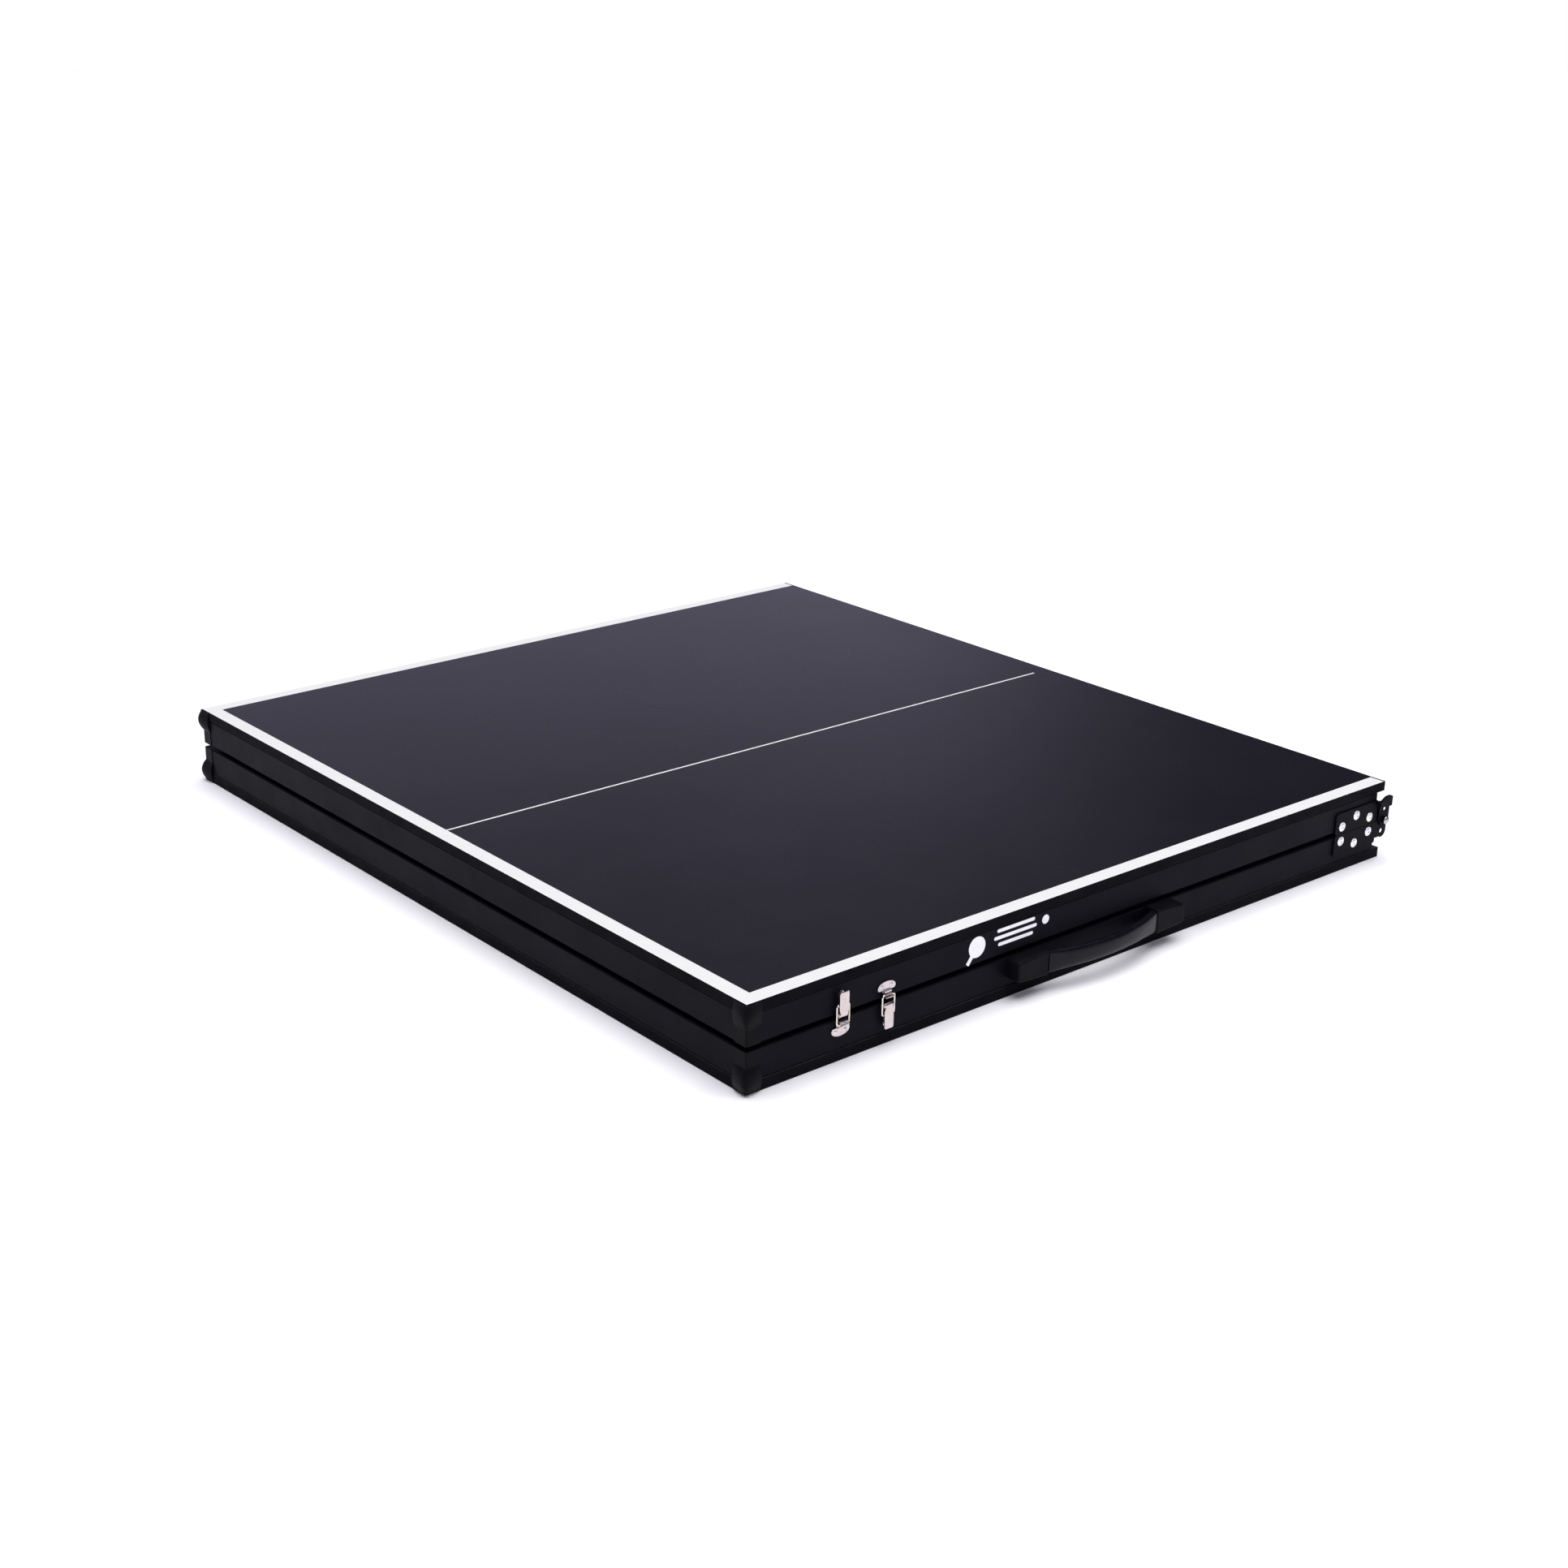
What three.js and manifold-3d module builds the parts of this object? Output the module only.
// A ping pong table that folds in half like a suitcase, closed, with its playing faces outside.
// Millimetres, +Z up. x runs from the open end (-) to the fold (+). The latches and the handle are on
// the front side (-y). The origin is the centre of the lower playing face, which the case rests on.
// Both halves are built as the lower one, board down and open upwards. The upper one is its mirror.
import * as THREE from "three";
import { mergeVertices } from "three/addons/utils/BufferGeometryUtils.js";
import Module from "manifold-3d";

const wasm = await Module();
wasm.setup();

// ---- Driving dimensions -------------------------------------------------------------------------

const GAP = 0.3; // left between two pieces that touch

const HALF_LENGTH = 1030; // one half, from its open end to the fold line
const TABLE_WIDTH = 1150;
const CASE_HEIGHT = 101; // both halves, closed
const PLAYING_HEIGHT = 760; // on its legs
const BOARD_THICKNESS = 12.5;

const RAIL_DEPTH = 18;
const RAIL_WALL = 2;
const RAIL_TOP = 47.5; // free edge of the lower rails
const RAIL_INSET = 1; // the rails stand this far inside the board's edge
const HINGE_RAIL_SETBACK = 13; // the rail beside the fold stands back from it

const CORNER_SIZE = RAIL_INSET + RAIL_DEPTH;
const BUMPER_TOP = 29.5; // height where a corner's bumper runs out
const BUMPER_STEP = 2.8; // its swelling at the post's two sides
const BUMPER_CROWN = 3.2; // and how much more at the corner itself

const PLATE_THICKNESS = 2;
const EAR_RADIUS = 8.5;
const PIN_RADIUS = 3.1;

const LEG_RADIUS = 12.5;
const LEG_WALL = 1.2;
const LEG_AXIS_HEIGHT = 30.5;
const LEG_PIVOT_Y = 515; // from the centre line
const FRONT_LEG_X = -467;
const BACK_LEG_X = -432;
const FOOT_RADIUS = 15;
const CLIP_DISTANCE = 600; // from a leg's pivot to its clip

const LATCH_A_X = -389.5;
const LATCH_B_X = -326.3;
const LATCH_PIVOT_OUT = 4.5; // latch pivots, out from the rail's face
const LEVER_PIVOT_UP = 4; // up from the parting plane
const BAIL_PIVOT_UP = 15;
const WIRE_RADIUS = 1.1;

const HANDLE_X = -12.8;
const HANDLE_HEIGHT = 35;
const HANDLE_CAP_LENGTH = 47.5;
const HANDLE_CAP_OUT = 20;
const STRAP_HALF_LENGTH = 87.2;

const PAD_X = 480;

const END_X = -HALF_LENGTH / 2;
const FOLD_X = HALF_LENGTH / 2;
const SIDE_Y = TABLE_WIDTH / 2;
const PARTING_Z = CASE_HEIGHT / 2;
const RAIL_BASE = BOARD_THICKNESS + GAP;
const RAIL_FACE_Y = SIDE_Y - RAIL_INSET;

// ---- Finishes -----------------------------------------------------------------------------------

const finish = (color, roughness, metalness = 0) =>
  new THREE.MeshStandardMaterial({ color, roughness, metalness });

const BOARD_PAINT = finish("#25242d", 0.42);
const RAIL_PAINT = finish("#1b1a1f", 0.5);
const HINGE_BLACK = finish("#17171a", 0.45, 0.6);
const PLASTIC = finish("#151518", 0.4);
const RUBBER = finish("#101012", 0.85);
const NICKEL = finish("#cdc4c0", 0.28, 1);
const ZINC = finish("#9fa1a3", 0.4, 1);
const LEG_PAINT = finish("#1e1e21", 0.4, 0.3);

// ---- Shapes -------------------------------------------------------------------------------------

const outline = (points) => new THREE.Shape(points.map(([a, b]) => new THREE.Vector2(a, b)));

const rectangle = (a0, a1, b0, b1) => outline([[a0, b0], [a1, b0], [a1, b1], [a0, b1]]);

function disc(a, b, radius) {
  const shape = new THREE.Shape();
  shape.absarc(a, b, radius, 0, 2 * Math.PI, false);
  return shape;
}

// An upright slot shape between two centres at (a, low) and (a, high).
function capsule(a, low, high, radius) {
  const shape = new THREE.Shape();
  shape.absarc(a, high, radius, 0, Math.PI, false);
  shape.absarc(a, low, radius, Math.PI, 2 * Math.PI, false);
  return shape;
}

// Extrudes a shape along an axis. Its (a, b) are (y, z) along x, (x, z) along y and (x, y) along z.
function prism(shape, axis, from, to, curveSegments = 8) {
  const depth = to - from;
  const geometry = new THREE.ExtrudeGeometry(shape, { depth, curveSegments, bevelEnabled: false });
  const X = new THREE.Vector3(1, 0, 0);
  const Y = new THREE.Vector3(0, 1, 0);
  const Z = new THREE.Vector3(0, 0, 1);
  const turn = new THREE.Matrix4();
  if (axis === "x") turn.makeBasis(Y, Z, X).setPosition(from, 0, 0);
  if (axis === "y") turn.makeBasis(X, Z, Y.negate()).setPosition(0, to, 0);
  if (axis === "z") turn.setPosition(0, 0, from);
  return geometry.applyMatrix4(turn);
}

// A skin through level rings, counter-clockwise from above. Each is seen whole from its last point.
function loft(rings) {
  const count = rings[0].length;
  const faces = [];
  for (let level = 0; level < rings.length - 1; level += 1) {
    for (let k = 0; k < count; k += 1) {
      const here = level * count + k;
      const next = level * count + ((k + 1) % count);
      faces.push(here, next, next + count, here, next + count, here + count);
    }
  }
  const top = (rings.length - 1) * count;
  for (let k = 0; k < count - 2; k += 1) {
    faces.push(count - 1, k + 1, k);
    faces.push(top + count - 1, top + k, top + k + 1);
  }
  const geometry = new THREE.BufferGeometry().setFromPoints(rings.flat());
  return geometry.setIndex(faces);
}

const block = (x0, x1, y0, y1, z0, z1) => prism(rectangle(x0, x1, y0, y1), "z", z0, z1);

// Turns a profile of (radius, distance along the axis), given in rising order, about x or y.
function turned(profile, axis, segments) {
  const points = profile.map(([radius, along]) => new THREE.Vector2(radius, along));
  const geometry = new THREE.LatheGeometry(points, segments);
  return axis === "x" ? geometry.rotateZ(-Math.PI / 2) : geometry;
}

// ---- Joining and cutting ------------------------------------------------------------------------

function solid(geometry) {
  const bare = geometry.clone();
  bare.deleteAttribute("normal");
  bare.deleteAttribute("uv");
  const merged = mergeVertices(bare, 1e-4);
  const vertProperties = Float32Array.from(merged.attributes.position.array);
  const triVerts = Uint32Array.from(merged.index.array);
  return new wasm.Manifold(new wasm.Mesh({ numProp: 3, vertProperties, triVerts }));
}

function shell(manifold) {
  const mesh = manifold.getMesh();
  const geometry = new THREE.BufferGeometry();
  geometry.setAttribute("position", new THREE.BufferAttribute(mesh.vertProperties, 3));
  geometry.setIndex(new THREE.BufferAttribute(mesh.triVerts, 1));
  geometry.computeVertexNormals();
  return geometry;
}

const join = (first, ...others) => shell(others.reduce((sum, next) => sum.add(solid(next)), solid(first)));
const cut = (body, ...tools) => shell(tools.reduce((rest, tool) => rest.subtract(solid(tool)), solid(body)));
const common = (first, ...others) =>
  shell(others.reduce((rest, next) => rest.intersect(solid(next)), solid(first)));

// ---- Placing ------------------------------------------------------------------------------------

function piece(parent, name, geometry, material) {
  const mesh = new THREE.Mesh(geometry, material);
  mesh.name = name;
  parent.add(mesh);
  return mesh;
}

function place(parent, x, y, z) {
  const group = new THREE.Group();
  group.position.set(x, y, z);
  parent.add(group);
  return group;
}

// ---- Board and rails ----------------------------------------------------------------------------

const boardSolid = () =>
  block(END_X, FOLD_X - 0.5, -SIDE_Y, SIDE_Y, 0, BOARD_THICKNESS);

// A C-channel's section, open inwards. face is its outer face and inward is +1 or -1.
function channel(face, inward) {
  const softEdge = 1.2;
  const points = [
    [0, RAIL_BASE + softEdge],
    [softEdge, RAIL_BASE],
    [RAIL_DEPTH, RAIL_BASE],
    [RAIL_DEPTH, RAIL_BASE + RAIL_WALL],
    [RAIL_WALL, RAIL_BASE + RAIL_WALL],
    [RAIL_WALL, RAIL_TOP - RAIL_WALL],
    [RAIL_DEPTH, RAIL_TOP - RAIL_WALL],
    [RAIL_DEPTH, RAIL_TOP],
    [softEdge, RAIL_TOP],
    [0, RAIL_TOP - softEdge],
  ];
  return outline(points.map(([inset, z]) => [face + inward * inset, z]));
}

function sideRail() {
  const from = END_X + CORNER_SIZE + GAP;
  return prism(channel(-RAIL_FACE_Y, 1), "x", from, FOLD_X - HINGE_RAIL_SETBACK);
}

function endRail() {
  const reach = SIDE_Y - CORNER_SIZE - GAP;
  return prism(channel(END_X + RAIL_INSET, 1), "y", -reach, reach);
}

function hingeRail() {
  const reach = RAIL_FACE_Y - RAIL_DEPTH - GAP;
  return prism(channel(FOLD_X - HINGE_RAIL_SETBACK, -1), "y", -reach, reach);
}

// ---- Corner posts with their bumpers ------------------------------------------------------------

// The post's plan at a height: square inside the case, bowed and rounded off outside it.
function postRing(height) {
  const rising = Math.sin(Math.PI * Math.min(height / BUMPER_TOP, 1));
  const swell = Math.max(rising, 0) ** 0.9;
  const covers = height < RAIL_BASE;
  const step = Math.max(BUMPER_STEP * swell - 0.2, covers ? 1 : -0.2);
  const crown = step + BUMPER_CROWN * swell;
  const round = 1.5 + 4 * swell;
  const run = CORNER_SIZE + crown - round;
  const count = 7;
  const side = [];
  for (let i = 0; i < count; i += 1) {
    const t = i / count;
    side.push([CORNER_SIZE - run * t, step + (crown - step) * Math.sin((Math.PI * t) / 2)]);
  }
  const points = side.map(([along, out]) => [END_X - out, -SIDE_Y + along]);
  for (let i = 0; i <= 6; i += 1) {
    const angle = Math.PI * (1 + i / 12);
    const x = END_X - crown + round + round * Math.cos(angle);
    const y = -SIDE_Y - crown + round + round * Math.sin(angle);
    points.push([x, y]);
  }
  side.reverse().forEach(([along, out]) => points.push([END_X + along, -SIDE_Y - out]));
  points.push([END_X + CORNER_SIZE, -SIDE_Y + CORNER_SIZE]);
  return points.map(([x, y]) => new THREE.Vector3(x, y, height));
}

// The bumper wraps the board's corner from outside, and the post goes on up between the rails.
function cornerPost() {
  const heights = [1, 3, 5.5, 8, 11, 14, 17, 20, 22.5, 25, 27, 28.5, BUMPER_TOP, RAIL_TOP];
  const post = loft(heights.map(postRing));
  return cut(post, block(END_X - GAP, 0, -SIDE_Y - GAP, 0, -1, RAIL_BASE));
}

// ---- Hinges -------------------------------------------------------------------------------------

const LOBE_HEIGHT = 35;
const PIN_HOLE = PIN_RADIUS + 0.2;

// A strap hinge's plate lies on the rail's face. Its ear holds the pin on the parting plane.
// The joggled ear of the upper plate steps out and swings in front of the lower one.
function hingePlate(joggled) {
  const out = (distance) => -RAIL_FACE_Y - distance;
  const plateEnd = FOLD_X - HINGE_RAIL_SETBACK;
  const top = PARTING_Z - GAP;
  const neckBase = 28;
  const leafOuter = GAP + PLATE_THICKNESS;
  const earInner = joggled ? leafOuter + GAP : GAP;
  const earOuter = earInner + PLATE_THICKNESS;
  const corner = 4;
  const leaf = new THREE.Shape();
  leaf.moveTo(plateEnd, 22.5);
  leaf.lineTo(plateEnd, top);
  leaf.lineTo(420 + corner, top);
  leaf.absarc(420 + corner, top - corner, corner, Math.PI / 2, Math.PI, false);
  leaf.absarc(420 + corner, 22.5 + corner, corner, Math.PI, 1.5 * Math.PI, false);
  const leafSolid = prism(leaf, "y", out(leafOuter), out(GAP), 4);
  const neckFrom = joggled ? 503.5 : plateEnd - 1;
  const neck = block(neckFrom, FOLD_X, out(earOuter), out(earInner), neckBase, top);
  const lobe = capsule(FOLD_X, LOBE_HEIGHT, PARTING_Z, EAR_RADIUS);
  const ear = prism(lobe, "y", out(earOuter), out(earInner), 12);
  const step = block(plateEnd - 1, 505.5, out(leafOuter), out(GAP), neckBase, top);
  const web = block(503.5, 505.5, out(earOuter), out(GAP), neckBase, top);
  const body = joggled ? join(leafSolid, step, web, neck, ear) : join(leafSolid, neck, ear);
  const pinHole = prism(disc(FOLD_X, PARTING_Z, PIN_HOLE), "y", out(9), out(-9), 10);
  const lobeHole = prism(disc(FOLD_X, LOBE_HEIGHT, 3.5), "y", out(9), out(-9), 8);
  return cut(body, pinHole, lobeHole);
}

// Domed head on a collar outside, shank through both ears, flat head behind. Distances run inwards.
const hingePin = () =>
  turned([
    [0, -10.9], [2.4, -10.6], [4.2, -9.6], [5.1, -8.1], [5.1, -7.3], [4.2, -7.3], [4.2, -4.9],
    [PIN_RADIUS, -4.9], [PIN_RADIUS, 0], [5, 0], [5, 2.2], [0, 2.2],
  ], "y", 20);

// The plastic hood over the upper ear, fixed to the plate. Its pocket keeps clear of the ear.
function stopCap() {
  const out = (distance) => -RAIL_FACE_Y - distance;
  const shape = new THREE.Shape();
  shape.moveTo(522.3, 31.6);
  shape.lineTo(522.5, 21);
  shape.quadraticCurveTo(522.5, 18.2, 519.7, 18.2);
  shape.lineTo(512, 18.2);
  shape.lineTo(499, 24.8);
  shape.lineTo(500.5, 28.5);
  shape.lineTo(509.4, 31.6);
  const overEar = block(503.2, 530, out(4.9), out(-1), 15, 35);
  const overPlate = block(490, 503.3, out(2.6), out(-1), 15, 35);
  return cut(prism(shape, "y", out(9), out(GAP), 5), overEar, overPlate);
}

// ---- Legs, their brackets and clips -------------------------------------------------------------
// Each leg is built along +y from its pivot, which is its group's origin.

const TUBE_BEHIND = 8;
const FOOT_FACE = PLAYING_HEIGHT - LEG_AXIS_HEIGHT;
const TUBE_END = FOOT_FACE - 7.5;
const BOLT_RADIUS = 4;
const CHEEK_INNER = LEG_RADIUS + 0.6;
const CHEEK_OUTER = CHEEK_INNER + 2;
const BASE_LOW = RAIL_BASE - LEG_AXIS_HEIGHT;
const BASE_HIGH = BASE_LOW + 2;

const boltHole = (reach) => prism(disc(0, 0, BOLT_RADIUS + GAP), "x", -reach, reach, 6);

function legTube() {
  const ring = disc(0, 0, LEG_RADIUS);
  ring.holes.push(disc(0, 0, LEG_RADIUS - LEG_WALL));
  return cut(prism(ring, "y", -TUBE_BEHIND, TUBE_END, 10), boltHole(20));
}

const legFoot = () =>
  turned([
    [0, TUBE_END + GAP], [LEG_RADIUS + GAP, TUBE_END + GAP], [LEG_RADIUS + GAP, TUBE_END - 22],
    [FOOT_RADIUS, TUBE_END - 22], [FOOT_RADIUS, FOOT_FACE - 2], [FOOT_RADIUS - 2, FOOT_FACE], [0, FOOT_FACE],
  ], "y", 20);

function legBolt() {
  const headInner = CHEEK_OUTER + GAP;
  const headOuter = headInner + 3.6;
  return turned([
    [0, -headOuter], [5.6, -headOuter], [6.5, 1 - headOuter], [6.5, -headInner], [BOLT_RADIUS, -headInner],
    [BOLT_RADIUS, headInner], [6.5, headInner], [6.5, headOuter - 1], [5.6, headOuter], [0, headOuter],
  ], "x", 16);
}

function legBracket() {
  const base = block(-19, 19, -30, 32, BASE_LOW, BASE_HIGH);
  const cheek = new THREE.Shape();
  cheek.moveTo(-14, BASE_LOW + 1);
  cheek.lineTo(14, BASE_LOW + 1);
  cheek.lineTo(11, 0);
  cheek.absarc(0, 0, 11, 0, Math.PI, false);
  const right = prism(cheek, "x", CHEEK_INNER, CHEEK_OUTER, 7);
  const left = prism(cheek, "x", -CHEEK_OUTER, -CHEEK_INNER, 7);
  return cut(join(base, left, right), boltHole(20));
}

// A springy U that holds the folded leg, open away from the board.
function legClip() {
  const inner = LEG_RADIUS + 0.4;
  const outer = inner + 2.5;
  const top = 3.5;
  const section = outline([
    [-outer, BASE_LOW], [outer, BASE_LOW], [outer, top], [inner, top - 1],
    [inner, BASE_HIGH], [-inner, BASE_HIGH], [-inner, top - 1], [-outer, top],
  ]);
  return prism(section, "y", CLIP_DISTANCE - 8, CLIP_DISTANCE + 8);
}

// ---- Draw latches -------------------------------------------------------------------------------
// Built with x across, z up from the parting plane and -y out of the rail's face, lever above.

const LEVER_HOLE = 1.8;

function latchBase() {
  const strip = capsule(0, 6, 26.2, 3.6);
  const plate = join(prism(strip, "y", -1.3, -GAP, 8), block(-6.7, 6.7, -1.3, -GAP, 3.3, 7.5));
  const knuckleSide = (from, to) =>
    join(
      prism(disc(-LATCH_PIVOT_OUT, LEVER_PIVOT_UP, 2.9), "x", from, to, 8),
      block(from, to, -LATCH_PIVOT_OUT, -1, 3.3, LEVER_PIVOT_UP + 2.9),
    );
  const hole = prism(disc(-LATCH_PIVOT_OUT, LEVER_PIVOT_UP, LEVER_HOLE), "x", -9, 9, 6);
  return cut(join(plate, knuckleSide(-6.7, -5.5), knuckleSide(5.5, 6.7)), hole);
}

const latchPin = () => turned([[0, -6.9], [1.5, -6.9], [1.5, 6.9], [0, 6.9]], "x", 12);

function latchLever() {
  const webInner = -6.2;
  const webOuter = -7.4;
  const narrow = 5.2;
  const barrel = prism(disc(-LATCH_PIVOT_OUT, LEVER_PIVOT_UP, 2.9), "x", -narrow, narrow, 8);
  const neck = block(-narrow, narrow, webOuter, webInner, LEVER_PIVOT_UP, 10);
  const thumb = new THREE.Shape();
  thumb.moveTo(webInner, 8.5);
  thumb.lineTo(webInner, 26.5);
  thumb.quadraticCurveTo(webInner, 28.6, -6.6, 30.1);
  thumb.lineTo(-7.8, 29.9);
  thumb.quadraticCurveTo(webOuter, 28.4, webOuter, 26.5);
  thumb.lineTo(webOuter, 8.5);
  const web = prism(thumb, "x", -6.35, 6.35, 4);
  const cheek = capsule(-LATCH_PIVOT_OUT, LEVER_PIVOT_UP, BAIL_PIVOT_UP, 2.5);
  const body = join(barrel, neck, web, prism(cheek, "x", 4, narrow, 8), prism(cheek, "x", -narrow, -4, 8));
  const pinHole = prism(disc(-LATCH_PIVOT_OUT, LEVER_PIVOT_UP, LEVER_HOLE), "x", -9, 9, 6);
  const bailHole = prism(disc(-LATCH_PIVOT_OUT, BAIL_PIVOT_UP, 1.5), "x", -9, 9, 6);
  return cut(body, pinHole, bailHole);
}

// The wire loop that the lever draws over the catch, with its two ends turned into the lever.
function latchBail() {
  const half = 8.4;
  const low = -7.5;
  const point = (x, z) => new THREE.Vector3(x, -LATCH_PIVOT_OUT, z);
  const stops = [
    [4.3, BAIL_PIVOT_UP], [half, BAIL_PIVOT_UP], [half, low], [-half, low], [-half, BAIL_PIVOT_UP],
    [-4.3, BAIL_PIVOT_UP],
  ].map(([x, z]) => point(x, z));
  const bend = 2.6;
  const path = new THREE.CurvePath();
  let from = stops[0];
  for (let i = 1; i < stops.length - 1; i += 1) {
    const corner = stops[i];
    const before = corner.clone().add(stops[i - 1].clone().sub(corner).setLength(bend));
    const after = corner.clone().add(stops[i + 1].clone().sub(corner).setLength(bend));
    path.add(new THREE.LineCurve3(from, before));
    path.add(new THREE.QuadraticBezierCurve3(before, corner, after));
    from = after;
  }
  path.add(new THREE.LineCurve3(from, stops.at(-1)));
  const section = disc(0, 0, WIRE_RADIUS);
  return new THREE.ExtrudeGeometry(section, { steps: 56, curveSegments: 4, extrudePath: path });
}

// The riveted plate, the pressed boss that stiffens it, and the hook over the wire.
function latchCatch() {
  const plate = new THREE.Shape();
  plate.moveTo(-8.9, -11.8);
  plate.quadraticCurveTo(-12.4, -11.8, -12.4, -15);
  plate.quadraticCurveTo(-12.2, -18.3, -8.2, -20);
  plate.quadraticCurveTo(-4, -21.6, 0, -21.6);
  plate.quadraticCurveTo(4, -21.6, 8.2, -20);
  plate.quadraticCurveTo(12.2, -18.3, 12.4, -15);
  plate.quadraticCurveTo(12.4, -11.8, 8.9, -11.8);
  const hook = outline([
    [-GAP, -14], [-GAP, -3], [-2.2, -3], [-5.4, -3.9], [-8.4, -5.4], [-9.3, -6.2], [-9.3, -6.8],
    [-8.1, -6.8], [-8.1, -6.1], [-1.5, -6.1], [-1.5, -14],
  ]);
  const boss = outline([
    [-GAP, -13.4], [-GAP, -9.2], [-3.6, -9.3], [-4.3, -10.2], [-4, -11.4], [-1.5, -13.4],
  ]);
  return join(prism(plate, "y", -1.5, -GAP, 6), prism(hook, "x", -5.5, 5.5), prism(boss, "x", -5, 5));
}

// ---- Carrying handle ----------------------------------------------------------------------------
// Built about the strap's middle, with x along the rail, z up and -y out of the rail's face.

const CAP_INNER_X = STRAP_HALF_LENGTH + 0.8;
const CAP_OUTER_X = CAP_INNER_X + HANDLE_CAP_LENGTH;

// The right end cap. The strap's tongue slides in and out in its chamber, held by the narrower mouth.
function handleCap() {
  const tall = 14.6;
  const short = 11.8;
  const round = 5;
  const shape = new THREE.Shape();
  shape.moveTo(CAP_INNER_X, tall);
  shape.lineTo(CAP_INNER_X, -tall);
  shape.lineTo(CAP_OUTER_X - round, -short);
  shape.quadraticCurveTo(CAP_OUTER_X, -short, CAP_OUTER_X, round - short);
  shape.lineTo(CAP_OUTER_X, short - round);
  shape.quadraticCurveTo(CAP_OUTER_X, short, CAP_OUTER_X - round, short);
  const body = prism(shape, "y", -HANDLE_CAP_OUT, -GAP, 5);
  const mouth = block(CAP_INNER_X - 1, CAP_INNER_X + 4, -17, -5.5, -8.6, 8.6);
  const chamber = block(CAP_INNER_X + 3, CAP_OUTER_X - 8, -17, -3, -10.5, 10.5);
  return cut(body, mouth, chamber);
}

// A circular arc through (-half, ends), (0, middle) and (half, ends), as points.
function bow(half, ends, middle, count) {
  const rise = middle - ends;
  const radius = (half * half + rise * rise) / (2 * rise);
  return Array.from({ length: count + 1 }, (_, i) => {
    const x = half * ((2 * i) / count - 1);
    return [x, middle - radius + Math.sign(radius) * Math.sqrt(radius * radius - x * x)];
  });
}

function handleStrap() {
  const half = STRAP_HALF_LENGTH;
  const outer = bow(half, -19.5, -33, 14);
  const inner = bow(half, -8.5, -21.5, 14).reverse();
  const band = prism(outline([...outer, ...inner]), "z", -15, 15);
  const upper = bow(half, 13, 11, 8);
  const lower = bow(half, -13, -11, 8).reverse();
  const front = prism(outline([...upper, ...lower]), "y", -40, 0);
  const tongue = block(-half - 13, half + 13, -11.5, -8.5, -8, 8);
  const stops = [-half - 14.8, half + 11.8].map((x) => block(x, x + 3, -11.5, -6, -10, 10));
  const between = block(-half + 2, half - 2, -20, 0, -20, 20);
  return join(common(band, front), ...stops, cut(tongue, between));
}

// ---- Assembly -----------------------------------------------------------------------------------

const table = new THREE.Group();

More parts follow.
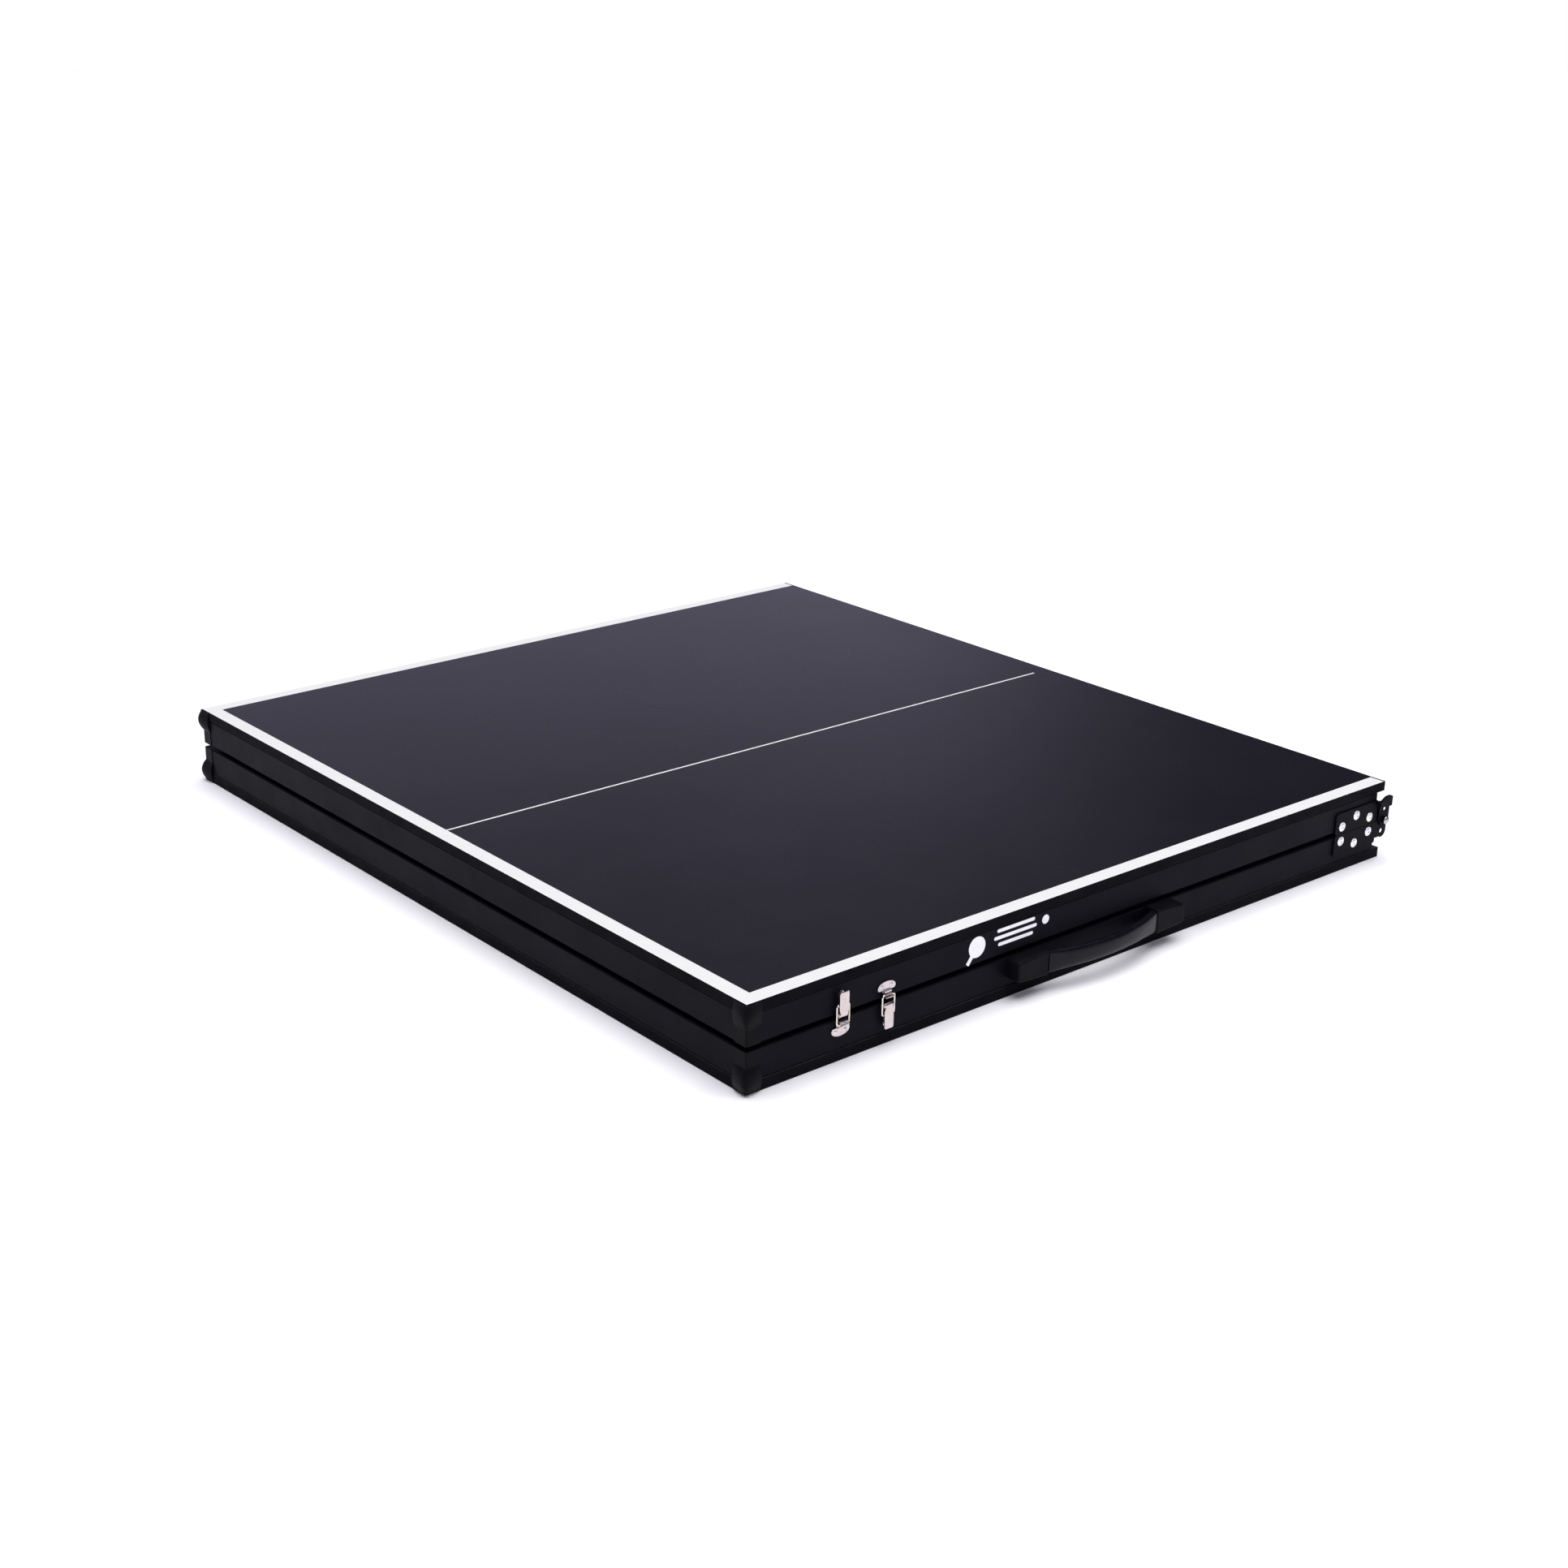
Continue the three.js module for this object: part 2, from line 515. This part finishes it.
function addHalf(name, upper) {
  const half = new THREE.Group();
  if (upper) {
    half.position.z = CASE_HEIGHT;
    half.scale.z = -1;
  }
  table.add(half);
  piece(half, `${name}_board`, boardSolid(), BOARD_PAINT);
  piece(half, `${name}_end_rail`, endRail(), RAIL_PAINT);
  piece(half, `${name}_hinge_rail`, hingeRail(), RAIL_PAINT);
  for (const [side, sign] of [["front", 1], ["back", -1]]) {
    const flank = new THREE.Group();
    flank.scale.y = sign;
    half.add(flank);
    const label = `${name}_${side}`;
    piece(flank, `${label}_rail`, sideRail(), RAIL_PAINT);
    piece(flank, `${label}_corner`, cornerPost(), PLASTIC);
    piece(flank, `${label}_hinge_plate`, hingePlate(upper), HINGE_BLACK);
    if (upper) piece(flank, `${side}_hinge_hood`, stopCap(), PLASTIC);
    if (!upper) addPinAndPads(flank, side);
    addLeg(flank, label, side === "front" ? FRONT_LEG_X : BACK_LEG_X);
  }
}

function addPinAndPads(flank, side) {
  const hinge = place(flank, FOLD_X, -RAIL_FACE_Y, PARTING_Z);
  piece(hinge, `${side}_hinge_pin`, hingePin(), NICKEL);
  for (const [end, x] of [["end", -PAD_X], ["fold", PAD_X]]) {
    const pad = block(x - 15, x + 15, -RAIL_FACE_Y + 8, -RAIL_FACE_Y + 17, RAIL_TOP + GAP, PARTING_Z + 2.7);
    piece(flank, `${side}_${end}_pad`, pad, RUBBER);
  }
}

function addLeg(flank, label, x) {
  const leg = place(flank, x, -LEG_PIVOT_Y, LEG_AXIS_HEIGHT);
  piece(leg, `${label}_leg_tube`, legTube(), LEG_PAINT);
  piece(leg, `${label}_leg_foot`, legFoot(), RUBBER);
  piece(leg, `${label}_leg_bolt`, legBolt(), ZINC);
  piece(leg, `${label}_leg_bracket`, legBracket(), HINGE_BLACK);
  piece(leg, `${label}_leg_clip`, legClip(), PLASTIC);
}

// Latch A has its lever above the parting plane. Latch B is its mirror, lever below.
function addLatch(letter, x, upsideDown) {
  const latch = place(table, x, -RAIL_FACE_Y, PARTING_Z);
  if (upsideDown) latch.scale.z = -1;
  piece(latch, `latch_${letter}_base`, latchBase(), NICKEL);
  piece(latch, `latch_${letter}_pin`, latchPin(), NICKEL);
  piece(latch, `latch_${letter}_lever`, latchLever(), NICKEL);
  piece(latch, `latch_${letter}_bail`, latchBail(), NICKEL);
  piece(latch, `latch_${letter}_catch`, latchCatch(), NICKEL);
}

function addHandle() {
  const handle = place(table, HANDLE_X, -RAIL_FACE_Y, HANDLE_HEIGHT);
  const left = new THREE.Group();
  left.scale.x = -1;
  handle.add(left);
  piece(left, "handle_left_cap", handleCap(), PLASTIC);
  piece(handle, "handle_right_cap", handleCap(), PLASTIC);
  piece(handle, "handle_grip", handleStrap(), PLASTIC);
}

addHalf("lower", false);
addHalf("upper", true);
addLatch("a", LATCH_A_X, false);
addLatch("b", LATCH_B_X, true);
addHandle();

export default table;
